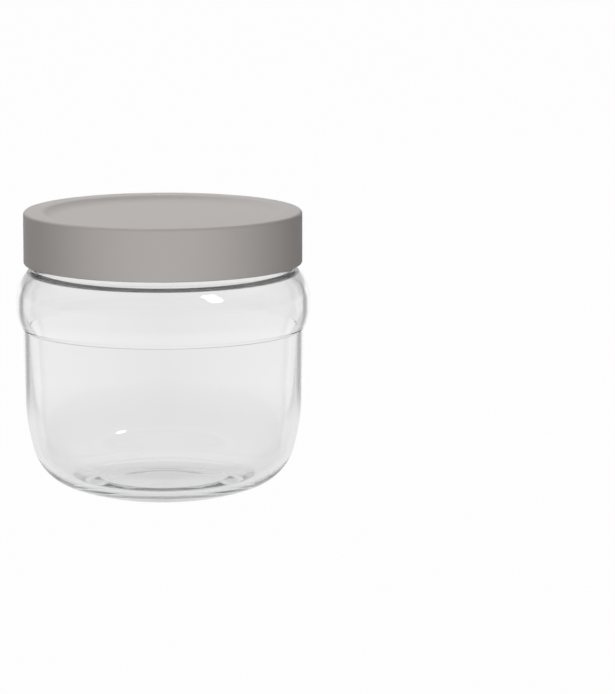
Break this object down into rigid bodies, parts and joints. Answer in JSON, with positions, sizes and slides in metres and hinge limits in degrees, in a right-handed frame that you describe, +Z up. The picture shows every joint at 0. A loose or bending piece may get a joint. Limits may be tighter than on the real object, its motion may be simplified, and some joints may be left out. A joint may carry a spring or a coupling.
{
  "type": "glass food container",
  "caption": "Round clear glass jar for food, with a bulging band under its neck, a rounded base and a flat plastic lid with a sunken top that rests on the rim.",
  "frame": {"origin": "centre of the ring that the jar stands on", "axes": "+Z up along the jar's axis; the jar and the lid are round, so X and Y are any two level directions"},
  "size_m": [0.1096, 0.1096, 0.1062],
  "materials": {
    "glass": "clear, fire polished",
    "lid_plastic": "fine matt"
  },
  "bodies": {
    "root": {"jar": "glass", "lid": "lid_plastic"}
  },
  "joints": []
}
